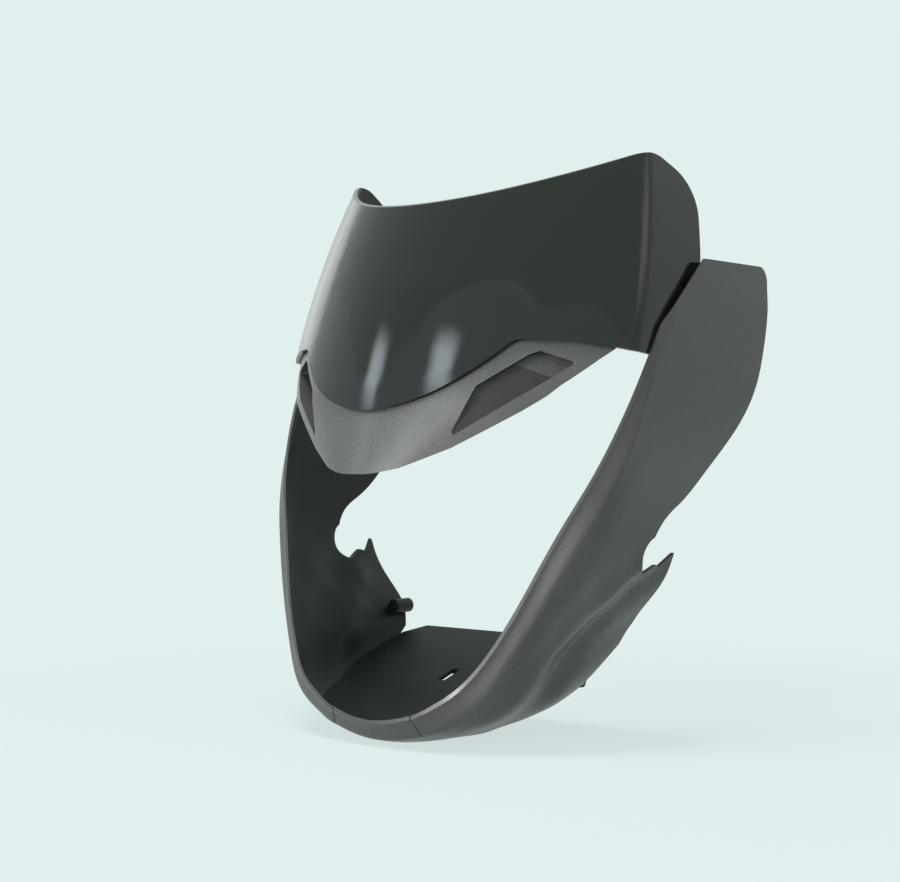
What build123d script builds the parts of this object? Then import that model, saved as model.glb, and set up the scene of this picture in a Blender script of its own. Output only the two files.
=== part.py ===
from build123d import *
from math import atan2, cos, exp, hypot, radians, sin, tan
import os

# Headlight cowl of a small motorcycle, without its lamp.
# Millimetres, +Z up, the lamp opening faces -Y and +X is the right-hand side seen from the front.
# The origin is midway between the two rear screw bosses.
os.makedirs("parts", exist_ok=True)

# Mouldings
panel_wall = 2.5
joint_gap = 0.6
lap_gap = 0.3
rear_plane = 1.3

# Plane of the lamp opening: y on the plane at z = 0 and its slope with height
rim_plane_y = -119.5
rim_rake = 0.345
rim_sweep = 0.001
sweep_start = 60

# Shoulder of the rolled rim and the section at y = 0, as half outlines (x, z) from chin to top
shoulder = ((0, -70), (44, -61.5), (80, -42), (105, -5), (131, 49), (145, 94), (149, 144), (150.5, 195),
            (149.5, 245))
waist = ((0, -36), (52, -34), (86, -19), (103, 3), (134, 43), (141, 88), (149.5, 140), (151, 190),
         (149.5, 245))
last_column = len(shoulder) - 1
column_pitch = 40
fine_step = 0.02
spot_steps = 30
section_shares = (0, 0.025, 0.05, 0.075, 0.11, 0.16, 0.23, 0.3, 0.4, 0.5, 0.6, 0.7, 0.8, 0.9, 1)
lap_first = 4
side_strips = 16
chin_strips = 8
lap_strips = 3
low_tail = 8
high_tail = 100
tail_growth = (3.6, 5.6)
notch_column = 4

# Front rim: the skin closes in towards it and ends in a crisp bevel
rim_roll = (11, 12, 15, 15, 17, 12, 3.5, 1, 1)
roll_depth = 26
rim_bevel = 8
bevel_share = 0.05

# Belly: the skin bulges below a flat floor tray
belly_bulge = 16
belly_rear = -31
belly_steps = ((-4.5, -14.2), (-19, -25), (belly_rear, -35))
belly_fade = (1.5, 2.9)

# Swage: a ridge with a groove behind it, from the notch down to the chin
ridge_height = 2.2
groove_depth = 3.2
swage_width = 11
swage_start = (0.9, 2.0)
swage_end = (3.9, 4.6)
groove_gap = 26
ridge_y = -76
ridge_slope = 1.0
ridge_bend = 0.0033

# Seam between the chin and a side panel, in columns of the half outlines
seam = 0.8
lap_width = 0.38
lap_root = 0.2
step_share = 0.8

# Side panel outline in side view (y, z)
panel_tip = (-60, 169)
seam_top = (12, 234.5)
panel_rear = 89
top_corner = 9
top_turn = 100
notch_lead = (-0.5, -1)
rear_edge = ((78, 172), (54, 128), (26, 100), (-3, 78.4))
notch_top = (-28, 57.5)
notch_deep = (-36, 46)
notch_low = (-27, 33.5)
prong_rise = (-15, 39.5)
prong_step = (-9, 38)
prong_tip = (0.8, 46.5)
prong_foot = 44.5
outline_margin = 60

# Visor: plan radii at its reference height, raked centre line and taper
visor_wall = 2.5
visor_nose = (-146.6, 137.4)
visor_rake = 0.25
visor_sweep = 0.00081
visor_width = 1.05
visor_taper = -0.00011
visor_narrowing = -0.00000826
visor_reference = 176
nose_radius = 150
nose_turn = 30
side_radius = 265
side_turn = 16.5
fold_radius = 15
fold_turn = 41.5
return_length = 72
visor_low = 125
visor_high = 312
visor_sections = 5

# Visor outline in side view (y, z)
visor_bend = (-107.5, 180.5)
visor_lip = (-84, 179)
visor_tip = (-62, 173)
visor_heel = (-44, 171)
visor_foot = (13, 218)
visor_peak = (-14, 304)
visor_shoulder = (27, 284)
visor_crest = (-99, 270.2)
visor_corner = 28
bend_radius = 9

# Brow: band behind the visor, opening into a prow at its lower edge
brow_wall = 2.3
visor_gap = 1.5
brow_joint = 145
brow_high = 224
brow_low = 90
prow_y = -160.5
prow_radius = 40
prow_side_radius = 500
prow_side_turn = 15
brow_edge = ((-172, 97.5), (-157, 97.5), (-148.6, 101.5), (-132, 113.7), (-108.4, 136.2), (-93.9, 151.4),
             (-75, 167.9), (-60, 180))
shield_edge = ((-60, 193), (-68, 201.5), (-76, 204.6), (-87.6, 201), (-93, 199.5), (-95.5, 207),
               (-101, 218.8), (-110, 216), (-121, 205), (-130, 186))

# Scoop in each half of the brow, drawn on a plane laid against its face
scoop_foot = (58.4, -131.3, 120.4)
scoop_along = (0.679, 0.528, 0.510)
scoop_out = (0.587, -0.808, 0.055)
scoop_outline = ((-3, 0.8), (66, 0), (88, 0.5), (73, 18), (66, 19.5), (28, 19.5))
scoop_corner = 1.5
scoop_shallow = 0.5
scoop_deep = 13
tray_wall = 2.2
tray_reach = 26

# Fasteners
screw_radius = 2.1
screw_clearance = 0.1
head_radius = 4.4
head_height = 2.6
head_taper = 12
flush_height = 2.3
flush_taper = 45
flush_sink = 0.15
sink_margin = 0.6
seat_gap = 0.2
return_seat = 1.0
washer_height = 1.0
boss_radius = 5.2
post_radius = 4.2
post_reach = 30
blind_skin = 0.9
boss_relief = 0.6
nut_length = 13
nut_width = 10
nut_height = 1.3
nut_collar = 1.6
visor_screw_spots = ((69, 209), (114, 193))
side_screw_spots = ((-28, 188), (3, 216))
chin_screw_shares = (0.36, 0.62)
tray_screw_spots = ((62, -95), (72, -48))
tray_screw_length = 11

# Rear screw bosses, at y = 0 and z = 0
boss_spread = 186
rear_boss_radius = 5
rear_boss_length = 16
rear_boss_bore = 2.1
rear_boss_depth = 13

# Hanging tabs with a grommet and a sleeve
tab_spread = 104
tab_height = -33
tab_top = 44
tab_foot = 20
tab_low = -46
tab_corner = 2
tab_wall = 3
tab_bore = 6.5
grommet_flange = 9
grommet_lip = 1.6
sleeve_bore = 3.25
sleeve_wall = 1.0

# Upper ears inside the side panels
ear_spread = 268
ear_y = 60
ear_z = 205
ear_radius = 9
ear_wall = 4
ear_bore = 3.25

# Floor tray: height at y = 0, slope, stations of its side edge and slot
tray_z = -14.2
tray_slope = 0.333
tray_stations = (-138, -133, -125, -114, -100, -80, -50, -25, -12)
tray_corner = 76
tray_clearance = 1.8
slot_y = -65
slot_length = 19
slot_width = 6
tray_lean = atan2(tray_slope, 1)


def ease(low, high, value):
    """Smooth step from 0 at low to 1 at high."""
    share = max(0.0, min(1.0, (value - low) / (high - low)))
    return share * share * (3 - 2 * share)


def bell(offset, width):
    """Bump of height 1 around offset 0."""
    return exp(-((offset / width) ** 2))


def curve_at(points, column):
    """Point of a smooth half outline; the outline is mirrored below column 0."""
    first = min(int(column), len(points) - 2)
    part = column - first
    before = (-points[1][0], points[1][1]) if first == 0 else points[first - 1]
    start, end = points[first], points[first + 1]
    after = points[min(first + 2, len(points) - 1)]
    return tuple(
        0.5 * (2 * b + (c - a) * part + (2 * a - 5 * b + 4 * c - d) * part**2
               + (3 * b - a - 3 * c + d) * part**3)
        for a, b, c, d in zip(before, start, end, after)
    )


def ruling(column, share):
    """Point on the straight line from the shoulder through the waist, and its depth behind the rim."""
    front_x, front_z = curve_at(shoulder, column)
    waist_x, waist_z = curve_at(waist, column)
    front_y = rim_plane_y + rim_rake * front_z + rim_sweep * max(0, front_z - sweep_start) ** 2
    tail = low_tail + (high_tail - low_tail) * ease(*tail_growth, column)
    depth = share * (tail - front_y)
    along = depth / -front_y
    x = front_x + along * (waist_x - front_x)
    z = front_z + along * (waist_z - front_z)
    return x, front_y + depth, z, depth


def skin_point(signed_column, share, inset=0.0):
    """Point on the outer skin of the cowl, sunk by inset along the outline's normal."""
    column = abs(signed_column)
    side = -1 if signed_column < 0 else 1
    x, y, z, depth = ruling(column, share)
    low, high = max(column - fine_step, 0), min(column + fine_step, last_column)
    low_x, _, low_z, _ = ruling(low, share)
    high_x, _, high_z, _ = ruling(high, share)
    if low == 0:
        low_x, low_z = -high_x, high_z
    run = hypot(high_x - low_x, high_z - low_z)
    out_x, out_z = (high_z - low_z) / run, (low_x - high_x) / run
    roll = curve_at([(height, 0) for height in rim_roll], column)[0] if column > 1 else rim_roll[0]
    bevel = min(rim_bevel, roll)
    lift = -inset - bevel * max(0.0, 1 - share / bevel_share)
    lift -= (roll - bevel) * max(0.0, 1 - depth / roll_depth) ** 2
    lift += belly_bulge * 4 * share * (1 - share) * (1 - ease(*belly_fade, column))
    behind_ridge = y - (ridge_y + ridge_slope * z + ridge_bend * z * z)
    swage = ease(*swage_start, column) * (1 - ease(*swage_end, column))
    lift += swage * ridge_height * bell(behind_ridge, swage_width)
    lift -= swage * groove_depth * bell(behind_ridge - groove_gap, swage_width)
    return Vector(side * (x + out_x * lift), y, z + out_z * lift)


def skin_spot(y, reached):
    """Point on the inner face below the swage, at the depth y, where the test reached turns true."""
    low, high = 0, notch_column
    for _ in range(spot_steps):
        column = (low + high) / 2
        start, end = ruling(column, 0)[1], ruling(column, 1)[1]
        spot = skin_point(column, (y - start) / (end - start), panel_wall)
        low, high = (low, column) if reached(spot) else (column, high)
    return spot


def skin_solid(column_at, strips, outer_inset, inner_inset, shares=section_shares):
    """Solid strip of the cowl between two insets of its skin, lofted through curves from rim to rear."""
    faces = []
    for inset in (outer_inset, inner_inset):
        sections = []
        for strip in range(strips + 1):
            points = [skin_point(column_at(strip / strips, share), share, inset) for share in shares]
            sections.append(Wire([Edge.make_spline(points)]))
        faces.append(Shell.make_loft(sections).faces()[0])
    outer, inner = faces
    for edge in outer.edges():
        mate = inner.edges().sort_by_distance(edge @ 0.5)[0]
        faces.append(Face.make_surface_from_curves(edge, mate))
    return Solid(Shell(faces))


def skin_plane(column, share):
    """Plane on the skin with its Z axis pointing out of the cowl."""
    step = fine_step
    here = skin_point(column, share)
    around = skin_point(column + step, share) - skin_point(column - step, share)
    back = skin_point(column, share + step) - skin_point(column, share - step)
    return Plane(origin=here, x_dir=back, z_dir=back.cross(around))


def visor_scale(height):
    """Size of the visor's plan curve at a height."""
    rise = height - visor_reference
    return visor_width + visor_taper * rise + visor_narrowing * rise**2


def visor_centre(height):
    """Y of the visor's outer face on the centre line at a height."""
    rise = height - visor_nose[1]
    return visor_nose[0] + visor_rake * rise + visor_sweep * rise**2


def screen_curve(height, inset, folded):
    """Plan curve of the visor at a height, set in by inset, with or without its side returns."""
    size = visor_scale(height)
    reach = nose_radius * size
    with BuildLine(mode=Mode.PRIVATE) as half:
        nose = CenterArc((0, visor_centre(height) + reach), reach - inset, 270, nose_turn)
        side = JernArc(nose @ 1, nose % 1, side_radius * size - inset, side_turn)
        if folded:
            fold = JernArc(side @ 1, side % 1, fold_radius - inset, fold_turn)
            Line(fold @ 1, fold @ 1 + (fold % 1) * return_length)
    return half.wires()[0]


def prow_curve(inset):
    """Plan curve of the brow's lower edge, a prow with nearly straight sides."""
    with BuildLine(mode=Mode.PRIVATE) as half:
        nose = CenterArc((0, prow_y + prow_radius), prow_radius - inset, 270, nose_turn)
        JernArc(nose @ 1, nose % 1, prow_side_radius - inset, prow_side_turn)
    return half.wires()[0]


def band(outer, inner):
    """Closed face between two half curves that start on the centre line, mirrored to both sides."""
    with BuildLine(mode=Mode.PRIVATE) as loop:
        add(outer)
        add(inner)
        Line(outer @ 1, inner @ 1)
        mirror(about=Plane.YZ)
    return make_face(loop.edges(), mode=Mode.PRIVATE)


def visor_plane(x, height, side):
    """Plane on the visor's outer face with its Z axis pointing forward."""
    size = visor_scale(height)
    nose_edge = nose_radius * size * sin(radians(nose_turn))
    sine = x / (nose_radius * size)
    sag = nose_radius * size * (1 - (1 - min(sine, sin(radians(nose_turn))) ** 2) ** 0.5)
    if x > nose_edge:
        sine = sin(radians(nose_turn)) + (x - nose_edge) / (side_radius * size)
        sag += side_radius * size * (cos(radians(nose_turn)) - (1 - sine**2) ** 0.5)
    slope = sine / (1 - sine**2) ** 0.5
    rake = visor_rake + 2 * visor_sweep * (height - visor_nose[1])
    return Plane(origin=(side * x, visor_centre(height) + sag, height), z_dir=(side * slope, -1, rake))


def return_x(y, height):
    """Outer X of the visor's side return."""
    size = visor_scale(height)
    turn = radians(nose_turn)
    lean = turn + radians(side_turn)
    edge = lean + radians(fold_turn)
    x, sag = nose_radius * size * sin(turn), nose_radius * size * (1 - cos(turn))
    for radius, start, end in ((side_radius * size, turn, lean), (fold_radius, lean, edge)):
        x += radius * (sin(end) - sin(start))
        sag += radius * (cos(start) - cos(end))
    return x + (y - visor_centre(height) - sag) / tan(edge)


def lap_plane(share, side):
    """Plane on the skin in the middle of a lap joint."""
    return skin_plane(side * (seam + lap_width / 2), share)


def tray_height(y):
    """Top of the floor tray at a depth."""
    return tray_z + tray_slope * y


# Side panels: a strip of skin trimmed to its side outline, with its bosses and upper ear
side_start = joint_gap / column_pitch
side_strip = skin_solid(lambda part, share: (1 - part) * (seam + side_start) + part * last_column,
                        side_strips, 0, panel_wall)
wall_x = waist[-2][0] - panel_wall / 2
tray_plane = Plane(origin=(0, 0, tray_z), x_dir=(1, 0, 0), z_dir=(0, -sin(tray_lean), cos(tray_lean)))
outside_strip = skin_solid(lambda part, share: (1 - part) * (seam + side_start) + part * notch_column,
                           chin_strips, -post_reach, panel_wall / 2)
with BuildPart() as tray_posts:
    for spot_x, spot_y in tray_screw_spots:
        with BuildSketch(tray_plane.offset(-panel_wall - seat_gap)):
            with Locations((spot_x, spot_y / cos(tray_lean))):
                Circle(post_radius)
        extrude(amount=-post_reach)
    add(outside_strip, mode=Mode.SUBTRACT)
with BuildPart() as right_side_panel:
    add(side_strip)
    with BuildSketch(Plane.YZ):
        with BuildLine():
            front = rim_plane_y - outline_margin
            low = shoulder[0][1] - outline_margin
            Polyline((belly_rear, low), (front, low), (front, panel_tip[1]), panel_tip, seam_top,
                     (panel_rear - top_corner, seam_top[1]))
            corner = JernArc((panel_rear - top_corner, seam_top[1]), (1, 0), top_corner, -top_turn)
            Spline(corner @ 1, *rear_edge, notch_top, tangents=(corner % 1, notch_lead))
            ThreePointArc(notch_top, notch_deep, notch_low)
            Polyline(notch_low, prong_rise, prong_step, prong_tip, (rear_plane, prong_foot), (rear_plane, 0),
                     *belly_steps, (belly_rear, low))
        make_face()
    extrude(amount=shoulder[-1][0] + outline_margin, mode=Mode.INTERSECT)
    # Rear screw boss
    with BuildSketch(Plane.XZ):
        with Locations((boss_spread / 2, 0)):
            Circle(rear_boss_radius)
    extrude(amount=rear_boss_length)
    # Posts under the floor tray
    add(tray_posts.part)
    for spot_x, spot_y in tray_screw_spots:
        with BuildSketch(tray_plane):
            with Locations((spot_x, spot_y / cos(tray_lean))):
                Circle(screw_radius + screw_clearance)
        extrude(amount=-tray_screw_length - seat_gap, mode=Mode.SUBTRACT)
    # Upper ear, bent inwards
    with BuildSketch(Plane.XZ.offset(-ear_y)):
        with Locations((ear_spread / 2, ear_z)):
            Circle(ear_radius)
            Rectangle(wall_x - ear_spread / 2, 2 * ear_radius, align=(Align.MIN, Align.CENTER))
    extrude(amount=ear_wall / 2, both=True)
    # Bosses that carry the visor's side return
    for spot_y, spot_z in side_screw_spots:
        face_x = return_x(spot_y, spot_z) + return_seat
        with BuildSketch(Plane.YZ.offset(face_x)):
            with Locations((spot_y, spot_z)):
                Circle(boss_radius)
        extrude(amount=wall_x - face_x)
        with BuildSketch(Plane.YZ.offset(face_x)):
            with Locations((spot_y, spot_z)):
                Circle(screw_radius + screw_clearance)
        extrude(amount=wall_x - face_x - blind_skin, mode=Mode.SUBTRACT)
    with BuildSketch(Plane.XZ):
        with Locations((boss_spread / 2, 0)):
            Circle(rear_boss_bore)
    extrude(amount=rear_boss_depth, mode=Mode.SUBTRACT)
    with BuildSketch(Plane.XZ.offset(-ear_y)):
        with Locations((ear_spread / 2, ear_z)):
            Circle(ear_bore)
    extrude(amount=ear_wall, both=True, mode=Mode.SUBTRACT)
    # Screw holes of the lap joint
    for share in chin_screw_shares:
        with BuildSketch(lap_plane(share, 1)):
            Circle(screw_radius + lap_gap)
        extrude(amount=2 * panel_wall, both=True, mode=Mode.SUBTRACT)
        with BuildSketch(lap_plane(share, 1).offset(sink_margin)):
            Circle(head_radius + lap_gap + sink_margin)
        extrude(amount=-flush_height - sink_margin, taper=flush_taper, mode=Mode.SUBTRACT)
right_side_panel.part.label = "right_side_panel"
export_step(right_side_panel.part, "parts/right_side_panel.step")

with BuildPart() as left_side_panel:
    mirror(right_side_panel.part, about=Plane.YZ)
left_side_panel.part.label = "left_side_panel"
export_step(left_side_panel.part, "parts/left_side_panel.step")

# Chin: the middle of the rim and belly, with a stepped lap flange inside each side panel
lap_inner = 2 * panel_wall + lap_gap
step_end = step_share * lap_root
lap_shares = section_shares[lap_first:]
chin_strip = skin_solid(lambda part, share: (2 * part - 1) * seam, chin_strips, 0, panel_wall)
lap_strip = skin_solid(lambda part, share: seam - lap_root + part * (lap_root + lap_width),
                       lap_strips, panel_wall + lap_gap, lap_inner, lap_shares)
step_strip = skin_solid(lambda part, share: seam - lap_root + part * step_end,
                        lap_strips, panel_wall / 2, (panel_wall + lap_gap + lap_inner) / 2, lap_shares)
with BuildPart() as chin_panel:
    add(chin_strip)
    for strip in (lap_strip, step_strip):
        add(strip)
        mirror(strip, about=Plane.YZ)
    for share in chin_screw_shares:
        with BuildSketch(lap_plane(share, 1), lap_plane(share, -1)):
            Circle(screw_radius + lap_gap)
        extrude(amount=2 * lap_inner, both=True, mode=Mode.SUBTRACT)
    split(bisect_by=Plane.XZ.offset(-belly_rear), keep=Keep.TOP)
chin_panel.part.label = "chin_panel"
export_step(chin_panel.part, "parts/chin_panel.step")

# Floor tray: a flat, sloping plate between the side panels, with a slot and two hanging tabs
with BuildPart() as floor_tray:
    with BuildSketch(tray_plane):
        with BuildLine():
            half = [(0, rear_plane / cos(tray_lean)), (tray_corner, rear_plane / cos(tray_lean))]
            for y in reversed(tray_stations):
                edge_x = skin_spot(y, lambda spot: spot.Z > tray_height(y) - panel_wall).X - tray_clearance
                half.append((edge_x, y / cos(tray_lean)))
            half.append((0, tray_stations[0] / cos(tray_lean)))
            Polyline(*half)
            mirror(about=Plane.YZ)
        make_face()
        with Locations((0, slot_y / cos(tray_lean))):
            SlotOverall(slot_length, slot_width, rotation=90, mode=Mode.SUBTRACT)
    extrude(amount=-panel_wall)
    with BuildSketch(Plane.XZ.offset(-rear_plane)):
        with BuildLine():
            tab_root = tray_z - panel_wall / 2
            FilletPolyline(((tab_spread - tab_top) / 2, tab_root), ((tab_spread - tab_foot) / 2, tab_low),
                           ((tab_spread + tab_foot) / 2, tab_low), ((tab_spread + tab_top) / 2, tab_root),
                           radius=tab_corner, close=True)
        make_face()
        mirror(about=Plane.YZ)
    extrude(amount=tab_wall)
    with BuildSketch(Plane.XZ.offset(-rear_plane)):
        with Locations((tab_spread / 2, tab_height), (-tab_spread / 2, tab_height)):
            Circle(tab_bore)
    extrude(amount=tab_wall, mode=Mode.SUBTRACT)
    for spot_x, spot_y in tray_screw_spots:
        with BuildSketch(tray_plane):
            with Locations((spot_x, spot_y / cos(tray_lean)), (-spot_x, spot_y / cos(tray_lean))):
                Circle(screw_radius + lap_gap)
        extrude(amount=-panel_wall, mode=Mode.SUBTRACT)
        with BuildSketch(tray_plane.offset(sink_margin)):
            with Locations((spot_x, spot_y / cos(tray_lean)), (-spot_x, spot_y / cos(tray_lean))):
                Circle(head_radius + lap_gap + sink_margin)
        extrude(amount=-flush_height - sink_margin, taper=flush_taper, mode=Mode.SUBTRACT)
floor_tray.part.label = "floor_tray"
export_step(floor_tray.part, "parts/floor_tray.step")

# Visor: a raked, folded sheet trimmed to its side outline, with screw bosses on its back
with BuildPart() as visor:
    for level in range(visor_sections):
        height = visor_low + (visor_high - visor_low) * level / (visor_sections - 1)
        with BuildSketch(Plane.XY.offset(height)):
            add(band(screen_curve(height, 0, True), screen_curve(height, visor_wall, True)))
    loft()
    with BuildSketch(Plane.YZ):
        with BuildLine():
            low_slope = (visor_bend[1] - visor_nose[1]) / (visor_bend[0] - visor_nose[0])
            top_slope = (visor_peak[1] - visor_crest[1]) / (visor_peak[0] - visor_crest[0])
            front = visor_nose[0] - outline_margin
            low_front = (front, visor_nose[1] - low_slope * outline_margin)
            top_front = (front, visor_crest[1] + top_slope * (front - visor_crest[0]))
            FilletPolyline(top_front, visor_peak, visor_shoulder, visor_foot, radius=visor_corner)
            FilletPolyline(low_front, visor_bend, visor_lip, radius=bend_radius)
            Polyline(visor_foot, visor_heel, visor_tip, visor_lip)
            Line(low_front, top_front)
        make_face()
    extrude(amount=shoulder[-1][0] + outline_margin, both=True, mode=Mode.INTERSECT)
    for spot_x, spot_z in visor_screw_spots:
        for side in (1, -1):
            spot = visor_plane(spot_x, spot_z, side)
            with BuildSketch(spot.offset(-visor_wall / 2)):
                Circle(boss_radius)
            extrude(amount=boss_relief - visor_wall / 2 - visor_gap)
            with BuildSketch(spot.offset(-blind_skin)):
                Circle(screw_radius + screw_clearance)
            extrude(amount=-visor_wall - visor_gap, mode=Mode.SUBTRACT)
    for spot_y, spot_z in side_screw_spots:
        with BuildSketch(Plane.YZ):
            with Locations((spot_y, spot_z)):
                Circle(screw_radius + lap_gap)
        extrude(amount=shoulder[-1][0] + outline_margin, both=True, mode=Mode.SUBTRACT)
visor.part.label = "visor"
export_step(visor.part, "parts/visor.step")

# Brow: a band that runs up behind the visor and opens into a prow, with a scoop in each half
brow_inset = visor_wall + visor_gap
scoop_plane = Plane(origin=scoop_foot, x_dir=scoop_along, z_dir=scoop_out)
scoop_tilt = atan2(scoop_deep - scoop_shallow, scoop_outline[2][0] - scoop_outline[0][0])
scoop_floor = Plane(origin=scoop_plane.from_local_coords(Vector(0, 0, -scoop_shallow)),
                    z_dir=scoop_plane.z_dir * cos(scoop_tilt) + scoop_plane.x_dir * sin(scoop_tilt))
with BuildPart() as scoop_air:
    with BuildSketch(scoop_plane.offset(tray_reach)):
        with BuildLine():
            FilletPolyline(*scoop_outline, radius=scoop_corner, close=True)
        make_face()
    extrude(amount=-2 * tray_reach)
    split(bisect_by=scoop_floor, keep=Keep.TOP)
with BuildPart() as scoop_tray:
    with BuildSketch(Plane.XY.offset(brow_low)):
        add(band(prow_curve(brow_wall / 2), prow_curve(tray_reach)))
    with BuildSketch(Plane.XY.offset(brow_joint)):
        add(band(screen_curve(brow_joint, brow_inset + brow_wall / 2, False),
                 screen_curve(brow_joint, brow_inset + tray_reach, False)))
    with BuildSketch(Plane.XY.offset(brow_high)):
        add(band(screen_curve(brow_high, brow_inset + brow_wall / 2, False),
                 screen_curve(brow_high, brow_inset + tray_reach, False)))
    loft(ruled=True)
    with BuildSketch(scoop_plane.offset(tray_reach)):
        with BuildLine():
            FilletPolyline(*scoop_outline, radius=scoop_corner, close=True)
        make_face()
        offset(amount=tray_wall)
    extrude(amount=-2 * tray_reach, mode=Mode.INTERSECT)
    split(bisect_by=scoop_floor.offset(-tray_wall), keep=Keep.TOP)
with BuildPart() as brow_panel:
    with BuildSketch(Plane.XY.offset(brow_low)):
        add(band(prow_curve(0), prow_curve(brow_wall)))
    with BuildSketch(Plane.XY.offset(brow_joint)):
        add(band(screen_curve(brow_joint, brow_inset, False),
                 screen_curve(brow_joint, brow_inset + brow_wall, False)))
    loft(ruled=True)
    for height in (brow_joint, (brow_joint + brow_high) / 2, brow_high):
        with BuildSketch(Plane.XY.offset(height)):
            add(band(screen_curve(height, brow_inset, False),
                     screen_curve(height, brow_inset + brow_wall, False)))
    loft()
    with BuildSketch(Plane.YZ):
        with BuildLine():
            Polyline(*brow_edge)
            Line(brow_edge[-1], shield_edge[0])
            lobes = Spline(*shield_edge)
            Polyline(lobes @ 1, (brow_edge[0][0], shield_edge[-1][1]), brow_edge[0])
        make_face()
    extrude(amount=shoulder[-1][0] + outline_margin, both=True, mode=Mode.INTERSECT)
    add(scoop_tray.part)
    mirror(scoop_tray.part, about=Plane.YZ)
    add(scoop_air.part, mode=Mode.SUBTRACT)
    mirror(scoop_air.part, about=Plane.YZ, mode=Mode.SUBTRACT)
    for spot_x, spot_z in visor_screw_spots:
        for side in (1, -1):
            with BuildSketch(visor_plane(spot_x, spot_z, side)):
                Circle(screw_radius + lap_gap)
            extrude(amount=-2 * (brow_inset + brow_wall), mode=Mode.SUBTRACT)
brow_panel.part.label = "brow_panel"
export_step(brow_panel.part, "parts/brow_panel.step")

# Screws and soft washers behind the brow's shield
washer_top = -brow_inset - brow_wall - seat_gap
with BuildPart() as visor_washers:
    for spot_x, spot_z in visor_screw_spots:
        for side in (1, -1):
            with BuildSketch(visor_plane(spot_x, spot_z, side).offset(washer_top)):
                Circle(boss_radius)
                Circle(screw_radius + screw_clearance, mode=Mode.SUBTRACT)
            extrude(amount=-washer_height)
visor_washers.part.label = "visor_washers"
export_step(visor_washers.part, "parts/visor_washers.step")

with BuildPart() as visor_screws:
    for spot_x, spot_z in visor_screw_spots:
        for side in (1, -1):
            spot = visor_plane(spot_x, spot_z, side)
            with BuildSketch(spot.offset(-blind_skin - seat_gap)):
                Circle(screw_radius)
            extrude(amount=washer_top - washer_height + blind_skin + seat_gap)
            with BuildSketch(spot.offset(washer_top - washer_height)):
                Circle(head_radius)
            extrude(amount=-head_height, taper=head_taper)
visor_screws.part.label = "visor_screws"
export_step(visor_screws.part, "parts/visor_screws.step")

# Screws through the visor's side returns into the panels' bosses
with BuildPart() as side_screws:
    for spot_y, spot_z in side_screw_spots:
        head_x = return_x(spot_y, spot_z) - visor_wall - return_seat
        with BuildSketch(Plane.YZ.offset(head_x)):
            with Locations((spot_y, spot_z)):
                Circle(screw_radius)
        extrude(amount=wall_x - blind_skin - seat_gap - head_x)
        with BuildSketch(Plane.YZ.offset(head_x)):
            with Locations((spot_y, spot_z)):
                Circle(head_radius)
        extrude(amount=-head_height, taper=head_taper)
    mirror(about=Plane.YZ)
side_screws.part.label = "side_screws"
export_step(side_screws.part, "parts/side_screws.step")

# Screws through the floor tray into the panels' posts: shank, then flush head
screw_steps = ((screw_radius, tray_screw_length, 0), (head_radius, flush_height, flush_taper))
with BuildPart() as tray_screws:
    for spot_x, spot_y in tray_screw_spots:
        for radius, length, taper in screw_steps:
            with BuildSketch(tray_plane.offset(-flush_sink)):
                with Locations((spot_x, spot_y / cos(tray_lean)), (-spot_x, spot_y / cos(tray_lean))):
                    Circle(radius)
            extrude(amount=-length, taper=taper)
tray_screws.part.label = "tray_screws"
export_step(tray_screws.part, "parts/tray_screws.step")

# Screws and spring nuts of the chin's lap joint
with BuildPart() as chin_clip_nuts:
    for share in chin_screw_shares:
        with BuildSketch(lap_plane(share, 1).offset(-lap_inner - seat_gap)):
            RectangleRounded(nut_length, nut_width, nut_height)
            Circle(screw_radius + screw_clearance, mode=Mode.SUBTRACT)
        extrude(amount=-nut_height)
        with BuildSketch(lap_plane(share, 1).offset(-lap_inner - seat_gap - nut_height)):
            Circle(screw_radius + nut_height)
            Circle(screw_radius + screw_clearance, mode=Mode.SUBTRACT)
        extrude(amount=-nut_collar)
    mirror(about=Plane.YZ)
chin_clip_nuts.part.label = "chin_clip_nuts"
export_step(chin_clip_nuts.part, "parts/chin_clip_nuts.step")

with BuildPart() as chin_screws:
    for share in chin_screw_shares:
        with BuildSketch(lap_plane(share, 1).offset(-flush_sink)):
            Circle(screw_radius)
        extrude(amount=-lap_inner - nut_height - nut_collar - screw_radius)
        with BuildSketch(lap_plane(share, 1).offset(-flush_sink)):
            Circle(head_radius)
        extrude(amount=-flush_height, taper=flush_taper)
    mirror(about=Plane.YZ)
chin_screws.part.label = "chin_screws"
export_step(chin_screws.part, "parts/chin_screws.step")

# Rubber grommet and steel sleeve in each hanging tab
sleeve_radius = sleeve_bore + sleeve_wall
grommet_length = tab_wall + 2 * (grommet_lip + screw_clearance)
grommet_face = rear_plane + grommet_lip + screw_clearance
with BuildPart() as tab_grommets:
    for side in (1, -1):
        with BuildSketch(Plane.XZ.offset(-grommet_face)):
            with Locations((side * tab_spread / 2, tab_height)):
                Circle(grommet_flange)
        extrude(amount=grommet_lip)
        with BuildSketch(Plane.XZ.offset(-grommet_face)):
            with Locations((side * tab_spread / 2, tab_height)):
                Circle(tab_bore - screw_clearance)
        extrude(amount=grommet_length)
        with BuildSketch(Plane.XZ.offset(grommet_length - grommet_lip - grommet_face)):
            with Locations((side * tab_spread / 2, tab_height)):
                Circle(grommet_flange)
        extrude(amount=grommet_lip)
        with BuildSketch(Plane.XZ.offset(-grommet_face)):
            with Locations((side * tab_spread / 2, tab_height)):
                Circle(sleeve_radius + screw_clearance)
        extrude(amount=grommet_length, mode=Mode.SUBTRACT)
tab_grommets.part.label = "tab_grommets"
export_step(tab_grommets.part, "parts/tab_grommets.step")

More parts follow.
